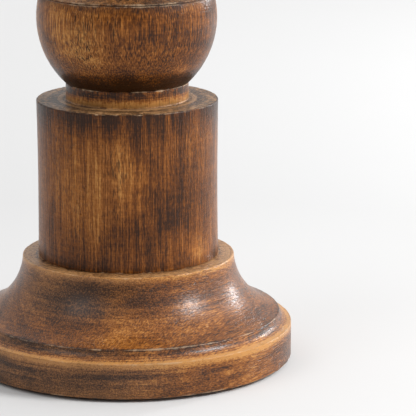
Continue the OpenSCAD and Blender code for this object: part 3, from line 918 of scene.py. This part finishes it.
def wood_tone(graph, cut, place, grain, tooled, flat):
    """How light the stain came out, with painted shade and light near some joints and on some sides, and the
    marks of the tool that it gathers in.
    """
    tool = place_group(graph, tool_group(), {"Vector": place, "Seed": cut.seed})
    rays = place_group(graph, tool_group(), {
        "Vector": place, "Seed": cut.seed, "Dash Width": 0.0018, "Dash Turn": 42.0})["Dashes"]
    tone = cut.tone
    for source, weight in ((grain["Rings"], cut.rings), (grain["Cloud"], cut.cloud),
                           (grain["Fibre"], cut.fibre), (grain["Figure"], cut.figure),
                           (tool["Lines"], graph.math("ADD", tooled, cut.lines)),
                           (tool["Dashes"], graph.math("MULTIPLY_ADD", tooled, 0.4, cut.dashes)),
                           (tool["Torn"], graph.math("MULTIPLY_ADD", tooled, 0.9, cut.torn)), (rays, flat)):
        tone = graph.sway(tone, source, weight)
    for centre, radius, strength in cut.patches:
        patch = place_group(graph, patch_group(), {
            "Vector": place, "Centre": centre, "Radius": radius, "Strength": strength})["Patch"]
        tone = graph.math("ADD", tone, patch)
    # Painted shade and light near the marked joints, along with stain, shift the tone.
    patchy = graph.remap(grain["Rings"], 0.0, 1.0, 1.25, 0.75)
    tone = graph.math("SUBTRACT", tone, graph.math("MULTIPLY", graph.attribute("stain_and_shade"), patchy))
    if cut.streak:
        middle, width, depth = cut.streak
        off = graph.math("ABSOLUTE", graph.math("SUBTRACT", grain["Distance"], middle))
        tone = graph.math("SUBTRACT", tone, graph.remap(off, 0.0, width, depth, 0.0, smooth=True))
    return tone, tool


def wood_material(name, cut):
    """Dark stained, waxed wood."""
    colours = settings().wood
    material, graph, shader = new_material(name)
    texture = graph.node("ShaderNodeTexCoord").outputs
    place = texture["Object"]
    grain_place = graph.node("ShaderNodeMapping", {"Vector": place, "Rotation": cut.turn}).outputs[0]
    normal = graph.node("ShaderNodeMapping", {"Vector": texture["Normal"], "Rotation": cut.turn},
                        vector_type="VECTOR").outputs[0]
    end = graph.remap(graph.math("ABSOLUTE", graph.separate(normal)["Z"]), 0.55, 0.97, smooth=True)
    tooled = graph.attribute("tooled")
    # Faces that look up, for the painted light on tool-cut ledges.
    level = graph.remap(graph.separate(texture["Normal"])["Z"], 0.80, 0.97, smooth=True)
    flat = graph.math("MULTIPLY", level, tooled, clamp=True)
    grain = place_group(graph, grain_group(), {
        "Vector": grain_place, "Pith": cut.pith, "Ring Spacing": cut.ring, "Seed": cut.seed,
        "Pore Width": cut.pore_width, "Pore Length": cut.pore_length})
    tone, tool = wood_tone(graph, cut, place, grain, tooled, flat)
    stains = {socket_label(stain): opaque(getattr(colours, stain)) for stain in STAIN_COLOURS}
    stained = place_group(graph, stain_group(), {
        "Tone": tone, "Pores": grain["Pores"], "Pore Depth": cut.pore_depth, "End": end, "Flat": flat,
        **stains})
    finish = place_group(graph, handling_group(), {
        "Color": stained["Color"], "Vector": place, "Bare": opaque(colours.bare),
        "Grime And Shade": opaque(colours.grime_and_shade), "Wear": cut.wear, "Roughness": 0.3})
    height = graph.math("MULTIPLY", tool["Lines"], 0.3)
    for source, weight in ((tool["Torn"], tooled), (tool["Dashes"], cut.dashes), (grain["Fibre"], 0.25),
                           (grain["Pores"], -0.8)):
        height = graph.math("MULTIPLY_ADD", source, weight, height)
    bump = graph.node("ShaderNodeBump", {"Strength": 0.75, "Distance": 0.00012, "Height": height}).outputs[0]
    graph.fill(shader, {
        "Base Color": finish["Color"], "Roughness": finish["Roughness"], "Normal": bump,
        "Specular IOR Level": cut.shine, "Coat Weight": 0.04, "Coat Roughness": 0.2})
    return material


def metal_material(name, clean, worn, metallic, roughness, coat):
    """Plated or enamelled metal that is rubbed on its edges."""
    material, graph, shader = new_material(name)
    place = graph.object_place()
    spots = graph.remap(graph.noise(place, scale=260.0, detail=4.0, roughness=0.7), 0.45, 0.7)
    base = graph.mix(graph.math("MULTIPLY", spots, 0.45), opaque(clean), opaque(worn))
    finish = place_group(graph, handling_group(), {
        "Color": base, "Vector": place, "Bare": opaque(worn), "Grime And Shade": opaque(settings().wood.grime_and_shade),
        "Corner Darkening": 0.5, "Roughness": roughness, "Roughness Spread": 0.2})
    lines = place_group(graph, tool_group(), {"Vector": place, "Spacing": 0.0009})["Lines"]
    dimples = graph.noise(place, scale=1100.0, detail=2.0)
    height = graph.math("MULTIPLY_ADD", lines, 0.3, dimples)
    bump = graph.node("ShaderNodeBump", {"Strength": 0.3, "Distance": 0.00008, "Height": height}).outputs[0]
    graph.fill(shader, {
        "Base Color": finish["Color"], "Roughness": finish["Roughness"], "Normal": bump, "Metallic": metallic,
        "Coat Weight": coat, "Coat Roughness": 0.3})
    return material


def felt_material():
    """Pressed felt, mottled and soft."""
    colours = settings().metal
    material, graph, shader = new_material("brown felt")
    place = graph.object_place()
    strands = graph.noise(place, scale=1900.0, detail=4.0, roughness=0.75, distortion=1.2)
    lumps = graph.noise(place, scale=260.0)
    mottle = graph.math("ADD", graph.math("MULTIPLY", strands, 0.7), graph.math("MULTIPLY", lumps, 0.3))
    base = graph.mix(graph.remap(mottle, 0.38, 0.66), opaque(colours.felt), opaque(colours.felt_light))
    bump = graph.node("ShaderNodeBump", {"Strength": 0.8, "Distance": 0.0002, "Height": strands}).outputs[0]
    graph.fill(shader, {
        "Base Color": base, "Roughness": graph.remap(strands, 0.3, 0.7, 0.85, 1.0), "Normal": bump,
        "Sheen Weight": 0.4, "Specular IOR Level": 0.1})
    return material


@build_once
def enamel():
    colours = settings().metal
    return metal_material("bronze enamel", colours.enamel, colours.enamel_worn, 0.35, 0.42, 0.25)


@build_once
def zinc():
    colours = settings().metal
    return metal_material("zinc plate", colours.zinc, colours.zinc_dull, 1.0, 0.32, 0.0)


# ---------------------------------------------------------------- outlines of the pieces

def stub_hole():
    """Radius of the hole that lets the pricket's stub through the pan and its washer."""
    return settings().pan.stub_radius + settings().pan.stub_gap


def rod_hole():
    """Radius of the hole that lets the tie rod through the wood."""
    return settings().hardware.rod_radius + settings().turning.rod_gap


def foot_outline():
    """Plinth band, cove, hollow sweep and shelf, round the mortise and the counterbore."""
    sizes, turning = settings().foot, settings().turning
    low, high = bottom("base"), top("base")
    plinth = low + sizes.plinth_height
    cove_foot = sizes.radius - sizes.plinth_flat
    lip = cove_foot - sizes.cove_width
    shelf = reach("column") + sizes.shelf_width
    seat = low + sizes.counterbore_depth
    mortise = settings().drum.foot_tenon_radius + turning.glue_gap
    mortise_floor = bottom("column") - turning.tenon_end_gap
    hole = rod_hole()
    outline = Outline(sizes.counterbore_radius, low)
    outline.to(sizes.radius, low).stained(0.12, 0.003).to(sizes.radius, plinth).stained(0.24, 0.007)
    outline.to(cove_foot, plinth, tooled=0.25).stained(-1.1, 0.0026)
    outline.to(lip, plinth + sizes.cove_width, turning.cove_depth * sizes.cove_width, tooled=0.2)
    outline.stained(0.2, 0.0014).stained(-0.05, 0.012)
    outline.to(shelf, high, sizes.sweep_sag).stained(0.2, 0.01).stained(-0.75, 0.003)
    outline.to(reach("column"), high, tooled=0.8).stained(-0.5, 0.004)
    outline.hidden(mortise, high).hidden(mortise, mortise_floor)
    outline.hidden(hole, mortise_floor).hidden(hole, seat)
    outline.to(sizes.counterbore_radius, seat).close(shown=True)
    return outline


def drum_outline():
    """Drum and neck, with a tenon at each end."""
    sizes = settings().drum
    seat = top("base")
    shoulder = seat + sizes.height
    neck = shoulder + sizes.neck_height
    hole = rod_hole()
    outline = Outline(hole, bottom("column"))
    outline.hidden(sizes.foot_tenon_radius, bottom("column"))
    outline.hidden(sizes.foot_tenon_radius, seat).hidden(sizes.radius, seat)
    outline.stained(0.25, 0.006)
    # Painted shade under the ball, with some stain: darker at the drum's top edge.
    outline.to(sizes.radius, shoulder, sizes.waist, rounding=0.0006).stained(0.5, 0.009)
    outline.to(sizes.neck_radius, shoulder, rounding=0.0006, tooled=1.4).stained(-0.9, 0.0028)
    # Painted shade: darker at the top of the neck, under the ball.
    outline.to(sizes.neck_radius, neck, tooled=0.35).stained(0.42, 0.004)
    outline.hidden(sizes.neck_tenon_radius, neck)
    outline.hidden(sizes.neck_tenon_radius, top("column")).hidden(hole, top("column"))
    return outline.close()


def ball_outline():
    """Ball up to its ring line, then the step and the hollow shoulder."""
    sizes, turning = settings().ball, settings().turning
    low, high = bottom("ball"), top("ball")
    neck = settings().drum.neck_radius
    middle = low + math.sqrt(sizes.radius ** 2 - neck ** 2)
    ring = middle + sizes.ring_rise
    ring_radius = math.sqrt(sizes.radius ** 2 - sizes.ring_rise ** 2)
    half_chord = math.hypot(ring_radius - neck, ring - low) / 2
    swelling = sizes.radius - math.sqrt(sizes.radius ** 2 - half_chord ** 2)
    quirk = ring_radius - sizes.quirk_width
    lower = settings().drum.neck_tenon_radius + turning.glue_gap
    upper = settings().stem.tenon_radius + turning.glue_gap
    hole = rod_hole()
    lower_end = top("column") + turning.tenon_end_gap
    upper_end = bottom("stem") - turning.tenon_end_gap
    outline = Outline(lower, low)
    # Painted shade: darker towards the ball's underside, where little light reaches it.
    outline.hidden(neck, low, rounding=0.0002).stained(0.75, 0.0095)
    # Painted highlight on the lit ring line, and on the next line a painted shadow in the step above it.
    outline.to(ring_radius, ring, -swelling, rounding=0.0003).stained(-0.12, 0.0008)
    outline.to(quirk, ring).stained(0.3, 0.0008).to(quirk, ring + sizes.quirk_height, rounding=0.0003)
    outline.to(sizes.shoulder_radius, high, sizes.shoulder_sag, tooled=0.4)
    outline.hidden(upper, high).hidden(upper, upper_end)
    outline.hidden(hole, upper_end).hidden(hole, lower_end)
    outline.hidden(lower, lower_end)
    return outline.close()


def stem_outline():
    """Tapered shaft between two beads, with a cove under the dish."""
    sizes, turning = settings().stem, settings().turning
    seat = bottom("stem") + sizes.foot_tenon_height
    shaft = seat + 2 * sizes.foot_bead
    bead = shaft + sizes.shaft_height
    cove = bead + 2 * sizes.top_bead
    dish = cove + sizes.cove_width
    flat = settings().ball.shoulder_radius
    bead_radius = sizes.shaft_top_radius + sizes.top_bead_out - sizes.top_bead
    hole = rod_hole()
    outline = Outline(hole, bottom("stem"))
    outline.hidden(sizes.tenon_radius, bottom("stem")).hidden(sizes.tenon_radius, seat)
    outline.hidden(flat, seat, rounding=0.0).to(flat, shaft, -sizes.foot_bead, rounding=0.0)
    outline.to(sizes.shaft_foot_radius, shaft)
    outline.to(sizes.shaft_top_radius, bead, sizes.shaft_sag)
    outline.to(bead_radius, bead, rounding=0.0).to(bead_radius, cove, -sizes.top_bead, rounding=0.0)
    outline.to(sizes.shaft_top_radius, cove)
    outline.to(sizes.shaft_top_radius + sizes.cove_width, dish, turning.cove_depth * sizes.cove_width)
    outline.hidden(sizes.tenon_radius, dish).hidden(sizes.tenon_radius, top("stem"))
    outline.hidden(hole, top("stem"))
    return outline.close()


def dish_outline():
    """Hollow flare and rim band, with the recess for the pan and the nut's pocket."""
    sizes, turning = settings().dish, settings().turning
    low, rim = bottom("dish"), top("dish")
    band = rim - sizes.band_height
    lip = sizes.radius - sizes.cove_width
    recess = settings().pan.radius + sizes.pan_gap
    floor, pocket = bottom("candle_pan"), bottom("top_washer")
    mortise = settings().stem.tenon_radius + turning.glue_gap
    mortise_end = top("stem") + turning.tenon_end_gap
    hole = rod_hole()
    outline = Outline(mortise, low)
    outline.to(sizes.foot_radius, low).to(sizes.foot_radius, low + sizes.foot_height)
    outline.to(lip, band - sizes.cove_width, sizes.flare_sag)
    outline.to(sizes.radius, band, turning.cove_depth * sizes.cove_width).to(sizes.radius, rim)
    outline.to(recess, rim).to(recess, floor).to(sizes.pocket_radius, floor)
    outline.to(sizes.pocket_radius, pocket).to(hole, pocket)
    outline.hidden(hole, mortise_end).hidden(mortise, mortise_end)
    return outline.close()


def pan_outline():
    """Flat floor, round bend and a wall that ends in a rolled edge."""
    sizes = settings().pan
    low, high = bottom("candle_pan"), top("candle_pan")
    floor = low + sizes.wall
    inner = sizes.radius - sizes.wall
    outer_bend = sizes.bend + sizes.wall
    bend_sag = 1 - math.sqrt(0.5)
    roll_middle = high - sizes.roll
    roll_foot = roll_middle - math.sqrt(sizes.roll ** 2 - (sizes.wall / 2) ** 2)
    roll_half_angle = math.radians(75)
    roll_sag = sizes.roll * (1 - math.cos(roll_half_angle))
    hole = stub_hole()
    outline = Outline(hole, low)
    outline.to(sizes.radius - outer_bend, low, rounding=0.0)
    outline.to(sizes.radius, low + outer_bend, -bend_sag * outer_bend, rounding=0.0)
    outline.to(sizes.radius, roll_foot).to(sizes.radius - sizes.wall / 2, high, -roll_sag, rounding=0.0)
    outline.to(inner, roll_foot, -roll_sag)
    outline.to(inner, floor + sizes.bend, rounding=0.0)
    outline.to(inner - sizes.bend, floor, bend_sag * sizes.bend, rounding=0.0)
    outline.to(hole, floor)
    return outline.close()


def pricket_outline():
    """Riveted head, stub, straight shank and point."""
    sizes = settings().pan
    low, high = bottom("pricket"), top("pricket")
    floor = bottom("candle_pan") + sizes.wall
    head_radius = reach("pricket")
    head_top = low + sizes.head_height
    dome = sizes.head_height * 0.4
    outline = Outline(0.0, low, closed=False)
    outline.to(head_radius, low + dome, -dome / 4, rounding=0.0002).to(head_radius, head_top, rounding=0.0001)
    outline.hidden(sizes.stub_radius, head_top, rounding=0.0)
    outline.hidden(sizes.stub_radius, floor, rounding=0.0)
    outline.hidden(sizes.shank_radius, floor, rounding=0.0)
    outline.to(sizes.shank_radius, floor + sizes.shank_height, rounding=0.0004)
    outline.to(sizes.tip_radius, high, sag=-0.0002, rounding=0.0001).to(0.0, high)
    return outline


def washer_outline(node, hole, edge=0.0003):
    """Flat ring with rounded edges."""
    low, high, radius = bottom(node), top(node), reach(node)
    outline = Outline(hole, low)
    outline.to(radius, low, rounding=edge).to(radius, high, rounding=edge).to(hole, high, rounding=edge)
    return outline.close(shown=True)


def nut_outline(node):
    """Nut before its flats are cut, with chamfered corners and countersunk mouths."""
    sizes = settings().hardware
    low, high = bottom(node), top(node)
    corner = reach(node)
    face = corner - sizes.nut_chamfer / math.tan(NUT_CHAMFER_ANGLE)
    bore = sizes.rod_radius
    mouth = bore + sizes.thread_depth
    outline = Outline(bore, low + sizes.thread_depth)
    outline.to(mouth, low, rounding=0.0001).to(face, low, rounding=0.0001)
    outline.to(corner, low + sizes.nut_chamfer).to(corner, high - sizes.nut_chamfer)
    outline.to(face, high, rounding=0.0001).to(mouth, high, rounding=0.0001)
    outline.to(bore, high - sizes.thread_depth, rounding=0.0001)
    return outline.close()


def rod_outline():
    """Threaded rod with a chamfer at each end."""
    sizes = settings().hardware
    low, high = bottom("tie_rod"), top("tie_rod")
    chamfer = sizes.thread_depth
    outline = Outline(0.0, low, closed=False)
    outline.to(sizes.rod_radius - chamfer, low, rounding=0.0001)
    outline.to(sizes.rod_radius, low + chamfer, rounding=0.0001)
    outline.to(sizes.rod_radius, high - chamfer, thread=True, rounding=0.0001)
    outline.to(sizes.rod_radius - chamfer, high, rounding=0.0001).to(0.0, high)
    return outline


# ---------------------------------------------------------------- how each piece was cut from the tree

FOOT_CUT = WoodCut(
    turn=(math.radians(90), math.radians(-32), 0.0), pith=(0.012, -0.075, 0.0), ring=0.006, seed=3.1,
    tone=0.425, rings=0.18, cloud=0.32, fibre=0.55, figure=0.05, lines=0.3, dashes=0.2, torn=0.12,
    pore_depth=0.45, wear=0.5, shine=0.36, patches=(
        ((-0.017, -0.044, 0.036), 0.02, -0.3), ((0.006, -0.047, 0.037), 0.014, -0.2),
        ((-0.002, -0.057, 0.025), 0.02, 0.1), ((0.021, -0.052, 0.028), 0.022, -0.05),
        # The first patch on the next line is painted shade on the right side of the sweep, where the key
        # softbox falls.
        ((0.052, -0.032, 0.022), 0.024, -0.13), ((0.057, -0.041, 0.006), 0.024, 0.38),
        ((0.008, -0.0695, 0.005), 0.008, 0.1), ((0.025, -0.0654, 0.0105), 0.008, 0.14),
        ((-0.018, -0.068, 0.012), 0.014, -0.1)))
DRUM_CUT = WoodCut(
    pith=(-0.05, -0.025, 0.0), ring=0.005, seed=5.3, tone=0.52, rings=0.16, cloud=0.34, fibre=0.52,
    figure=0.1, wear=0.8, streak=(0.0757, 0.003, 0.16), patches=(
        ((-0.0136, -0.0356, 0.081), 0.03, 0.34), ((0.006, -0.0375, 0.066), 0.02, -0.34),
        ((0.023, -0.030, 0.08), 0.024, -0.16), ((0.0185, -0.0335, 0.057), 0.014, -0.12),
        ((0.012, -0.036, 0.1), 0.014, -0.16), ((0.028, -0.0257, 0.053), 0.009, 0.3)))
BALL_CUT = WoodCut(
    pith=(-0.055, 0.03, 0.0), ring=0.006, seed=8.6, tone=0.49, rings=0.16, cloud=0.46, fibre=0.62,
    figure=0.26, pore_depth=0.9, wear=0.5, patches=(
        # The second patch on the next line and the first on the line after darken the ball's right side:
        # partly stain, partly painted shade.
        ((-0.016, -0.034, 0.140), 0.022, 0.22), ((0.017, -0.031, 0.134), 0.022, -0.16),
        ((0.030, -0.024, 0.146), 0.026, -0.3), ((0.011, -0.036, 0.156), 0.018, -0.1)))
STEM_CUT = WoodCut(
    pith=(0.04, 0.025, 0.0), ring=0.004, seed=11.2, tone=0.5, rings=0.2, cloud=0.4, fibre=0.52)
DISH_CUT = WoodCut(
    turn=(math.radians(90), math.radians(35), 0.0), pith=(0.01, 0.07, 0.0), ring=0.006, seed=14.9, tone=0.53,
    rings=0.2, cloud=0.45, fibre=0.3, lines=0.3, dashes=0.4, pore_depth=0.35, shine=0.38)


def turn_wood(name, outline, wood, cut, node, slot, **values):
    """Turns a wooden section, with the fine ripple that the tool leaves."""
    turn_piece(name, outline, wood_material(wood, cut), STICK, node, slot, ripple=TOOL_RIPPLE, **values)


# ---------------------------------------------------------------- operators

class BuildFoot(bpy.types.Operator):
    """Turn the foot disc with its plinth, cove and hollow sweep"""
    bl_idname = "candlestick.build_foot"
    bl_label = "Foot"

    def execute(self, context):
        turn_wood("foot_disc", foot_outline(), "foot wood", FOOT_CUT, "base", "foot_wood", segments=300,
                  wobble=0.00025, chip=0.0005, seed=1.7)
        return {"FINISHED"}


class BuildDrum(bpy.types.Operator):
    """Turn the drum and its neck"""
    bl_idname = "candlestick.build_drum"
    bl_label = "Drum"

    def execute(self, context):
        turn_wood("drum_column", drum_outline(), "drum wood", DRUM_CUT, "column", "stem_wood", segments=300,
                  wobble=0.0002, chip=0.0004, seed=4.2)
        return {"FINISHED"}


class BuildBall(bpy.types.Operator):
    """Turn the ball with its ring line and shoulder"""
    bl_idname = "candlestick.build_ball"
    bl_label = "Ball"

    def execute(self, context):
        turn_wood("ring_ball", ball_outline(), "ball wood", BALL_CUT, "ball", "stem_wood", segments=300,
                  wobble=0.00018, chip=0.0003, seed=6.4)
        return {"FINISHED"}


class BuildStem(bpy.types.Operator):
    """Turn the slender stem with its beads"""
    bl_idname = "candlestick.build_stem"
    bl_label = "Stem"

    def execute(self, context):
        turn_wood("slender_stem", stem_outline(), "stem wood", STEM_CUT, "stem", "stem_wood", segments=180,
                  wobble=0.00015, chip=0.0003, seed=9.8)
        return {"FINISHED"}


class BuildDish(bpy.types.Operator):
    """Turn the dish with its recess for the pan"""
    bl_idname = "candlestick.build_dish"
    bl_label = "Dish"

    def execute(self, context):
        turn_wood("candle_dish", dish_outline(), "dish wood", DISH_CUT, "dish", "foot_wood", segments=300,
                  wobble=0.0002, chip=0.0005, seed=12.3)
        return {"FINISHED"}


class BuildHardware(bpy.types.Operator):
    """Thread the tie rod and make its nuts and washers"""
    bl_idname = "candlestick.build_hardware"
    bl_label = "Tie Rod, Nuts and Washers"

    def execute(self, context):
        sizes = settings().hardware
        turn_piece("threaded_tie_rod", rod_outline(), zinc(), STICK, "tie_rod", "zinc_steel", segments=24,
                   thread_pitch=sizes.thread_pitch, thread_depth=sizes.thread_depth)
        for end in ("foot", "top"):
            nut, washer = end + "_nut", end + "_washer"
            turn_piece(end + "_hexagon_nut", nut_outline(nut), zinc(), STICK, nut, "zinc_steel", segments=180,
                       across_flats=sizes.across_flats)
            turn_piece(end + "_round_washer", washer_outline(washer, rod_hole()), zinc(), STICK, washer,
                       "zinc_steel", segments=120, wobble=0.00005)
        return {"FINISHED"}


class BuildPan(bpy.types.Operator):
    """Press the pan and fit its pricket and washer"""
    bl_idname = "candlestick.build_pan"
    bl_label = "Pan and Pricket"

    def execute(self, context):
        turn_piece("rolled_edge_pan", pan_outline(), enamel(), PAN, "candle_pan", "pan_metal", segments=240,
                   wobble=0.0001)
        backing = washer_outline("pan_washer", stub_hole(), edge=0.0002)
        turn_piece("pan_backing_washer", backing, enamel(), PAN, "pan_washer", "pan_metal", segments=90)
        turn_piece("candle_pricket", pricket_outline(), enamel(), PAN, "pricket", "pan_metal", segments=72)
        return {"FINISHED"}


class BuildPads(bpy.types.Operator):
    """Cut the felt pads under the foot"""
    bl_idname = "candlestick.build_pads"
    bl_label = "Felt Pads"

    def execute(self, context):
        sizes = settings().pads
        circle = reach("base") - sizes.inset - sizes.radius
        pads = run_tree("felt_foot_pads", bpy.data.meshes.new("felt_foot_pads"), felt_tree(), {
            "Radius": sizes.radius, "Thickness": top("felt_pads") - bottom("felt_pads"),
            "Circle Radius": circle, "Count": sizes.count, "Fibres": sizes.fibres,
            "Fibre Length": sizes.fibre_length, "Fibre Radius": sizes.fibre_radius,
            "Material": felt_material()})
        fit(pads, STICK, "felt_pads")
        return {"FINISHED"}


def floor_material(sizes):
    """Matt white paper, with painted shade that makes it darker near the object and a little brighter far
    away.
    """
    material, graph, shader = new_material("studio floor")
    place = graph.object_place()
    distance = graph.vector("LENGTH", place)
    # Painted shade: the floor's colour is darker near the object.
    shade = graph.remap(distance, 0.3, 1.3, sizes.floor_near, sizes.floor_far)
    shade = graph.sway(shade, graph.noise(place, scale=6.0, detail=3.0), 0.01)
    graph.fill(shader, {"Base Color": graph.grey(shade), "Roughness": 0.9, "Specular IOR Level": 0.0})
    return material


def studio_floor(sizes):
    """Wide round floor under the candlestick."""
    step = FULL_TURN / FLOOR_SIDES
    rim = [(sizes.floor_radius * math.cos(k * step), sizes.floor_radius * math.sin(k * step), 0.0)
           for k in range(FLOOR_SIDES)]
    data = bpy.data.meshes.new("studio_floor")
    data.from_pydata(rim, [], [list(range(FLOOR_SIDES))])
    data.materials.append(floor_material(sizes))
    floor = bpy.data.objects.new("studio_floor", data)
    bpy.context.scene.collection.objects.link(floor)


def soft_room(sizes):
    """Room whose light comes from behind, from above and from the right."""
    room = bpy.data.worlds.new("soft room")
    room.use_nodes = True
    room.node_tree.nodes.clear()
    graph = Graph(room.node_tree)
    way = graph.separate(graph.node("ShaderNodeTexCoord").outputs["Generated"])
    behind = graph.remap(way["Y"], -0.9, 0.3, 0.25, 1.0, smooth=True)
    above = graph.remap(way["Z"], 0.0, 0.9)
    right = graph.remap(way["X"], 0.2, 1.0, smooth=True)
    level = graph.math("MULTIPLY", behind, sizes.glow_behind)
    level = graph.math("MULTIPLY_ADD", above, sizes.glow_above, level)
    level = graph.math("MULTIPLY_ADD", right, sizes.glow_right, level)
    light = graph.node("ShaderNodeBackground", {"Color": graph.grey(level), "Strength": 1.0})
    graph.node("ShaderNodeOutputWorld", {"Surface": light.outputs[0]})
    bpy.context.scene.world = room


SOFTBOXES = (
    # name, direction from the place that it faces, distance, width, height, watts
    ("key softbox", (0.777, -0.237, 0.584), 1.1, 0.3, 0.32, 9.8),
    ("side strip", (0.755, 0.597, 0.27), 1.2, 0.1, 0.36, 5.4),
    ("left fill", (-0.62, -0.5, 0.6), 1.4, 0.8, 0.8, 3.6),
)


def add_softbox(aim, name, direction, distance, width, height, watts):
    """Flat rectangular light that faces a place from a direction."""
    data = bpy.data.lights.new(name, "AREA")
    data.shape = "RECTANGLE"
    data.size = width
    data.size_y = height
    data.energy = watts
    light = bpy.data.objects.new(name, data)
    bpy.context.scene.collection.objects.link(light)
    way = Vector(direction).normalized()
    light.location = Vector(aim) + way * distance
    light.rotation_euler = way.to_track_quat("Z", "Y").to_euler()


def add_camera(sizes):
    """Camera that is level from side to side and looks down a little."""
    data = bpy.data.cameras.new("view")
    data.lens = sizes.lens
    data.sensor_width = 36.0
    data.clip_start = 0.01
    camera = bpy.data.objects.new("view", data)
    camera.location = sizes.camera
    camera.rotation_euler = (HALF_TURN / 2 - sizes.camera_drop, 0.0, 0.0)
    bpy.context.scene.collection.objects.link(camera)
    bpy.context.scene.camera = camera


class BuildStage(bpy.types.Operator):
    """Lay the pale floor and set the soft light and the camera"""
    bl_idname = "candlestick.build_stage"
    bl_label = "Stage"

    def execute(self, context):
        sizes = settings().studio
        studio_floor(sizes)
        soft_room(sizes)
        for softbox in SOFTBOXES:
            add_softbox(sizes.aim, *softbox)
        add_camera(sizes)
        context.scene.view_settings.view_transform = "Standard"
        return {"FINISHED"}


BUILDERS = (BuildStage, BuildFoot, BuildDrum, BuildBall, BuildStem, BuildDish, BuildHardware, BuildPan,
            BuildPads)


class CandlestickPanel(bpy.types.Panel):
    """Sizes, colours and build steps of the candlestick"""
    bl_idname = "VIEW3D_PT_candlestick"
    bl_label = "Candlestick"
    bl_space_type = "VIEW_3D"
    bl_region_type = "UI"
    bl_category = "Candlestick"

    def draw(self, context):
        layout = self.layout
        for builder in BUILDERS:
            layout.operator(builder.bl_idname)
        for name, group in GROUPS.items():
            box = layout.box()
            box.label(text=name.title())
            for size in group.__annotations__:
                box.prop(getattr(settings(), name), size)


CLASSES = (*GROUPS.values(), CandlestickSettings, *BUILDERS, CandlestickPanel)


def register():
    for each in CLASSES:
        bpy.utils.register_class(each)
    bpy.types.Scene.candlestick = PointerProperty(type=CandlestickSettings)


def unregister():
    del bpy.types.Scene.candlestick
    for each in reversed(CLASSES):
        bpy.utils.unregister_class(each)


def main():
    """Builds every piece and the stage."""
    register()
    for builder in BUILDERS:
        family, step = builder.bl_idname.split(".")
        getattr(getattr(bpy.ops, family), step)()


if __name__ == "__main__":
    main()
